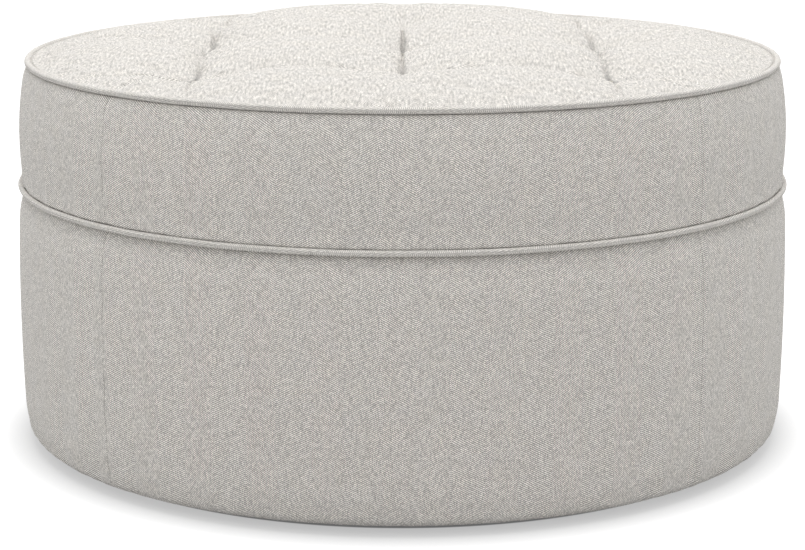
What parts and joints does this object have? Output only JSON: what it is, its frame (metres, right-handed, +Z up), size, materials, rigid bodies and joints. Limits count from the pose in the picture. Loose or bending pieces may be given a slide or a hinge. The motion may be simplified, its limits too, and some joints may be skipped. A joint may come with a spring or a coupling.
{
  "type": "round tufted ottoman",
  "caption": "Round drum ottoman in pale herringbone cloth: crowned blind-tufted top, welted rim, boxed seat band and a body rounded under onto hidden glides.",
  "frame": {"origin": "on the floor under the middle of the drum", "axes": "+Z up along the drum's axis, the front faces -Y, +X to the right of a viewer at the front"},
  "size_m": [0.92, 0.92, 0.485],
  "materials": {
    "top_cloth": "heathered herringbone weave, matt",
    "side_cloth": "herringbone weave in upright columns, matt",
    "welt_cloth": "the same cloth cut on the bias, matt",
    "padding": "bonded polyester fibre",
    "foam": "open-cell seat foam",
    "cord": "soft cotton filler cord",
    "twine": "waxed tufting twine",
    "plywood": "raw birch plywood",
    "timber": "raw pine",
    "hardboard": "smooth hardboard",
    "steel": "zinc plated",
    "dust_cloth": "black non-woven cambric",
    "glide_plastic": "dark nylon"
  },
  "bodies": {
    "root": {"back_body_panel": "side_cloth", "back_boxing_panel": "side_cloth", "back_skin": "hardboard", "base_ring": "plywood", "base_screws": "steel", "body_foam": "foam", "crown_pad": "padding", "deck_board": "plywood", "deck_ring": "plywood", "deck_screws": "steel", "dust_cover": "dust_cloth", "front_body_panel": "side_cloth", "front_boxing_panel": "side_cloth", "front_skin": "hardboard", "glide_screws": "steel", "glides": "glide_plastic", "left_body_panel": "side_cloth", "left_boxing_panel": "side_cloth", "left_deck_rail": "plywood", "middle_welt_cord": "cord", "middle_welt_cover": "welt_cloth", "post_1": "timber", "post_2": "timber", "post_3": "timber", "post_4": "timber", "post_5": "timber", "post_6": "timber", "post_7": "timber", "post_8": "timber", "right_body_panel": "side_cloth", "right_boxing_panel": "side_cloth", "right_deck_rail": "plywood", "seat_foam": "foam", "top_cover": "top_cloth", "top_welt_cord": "cord", "top_welt_cover": "welt_cloth", "tuft_twines": "twine", "tuft_washers": "steel"}
  },
  "joints": []
}
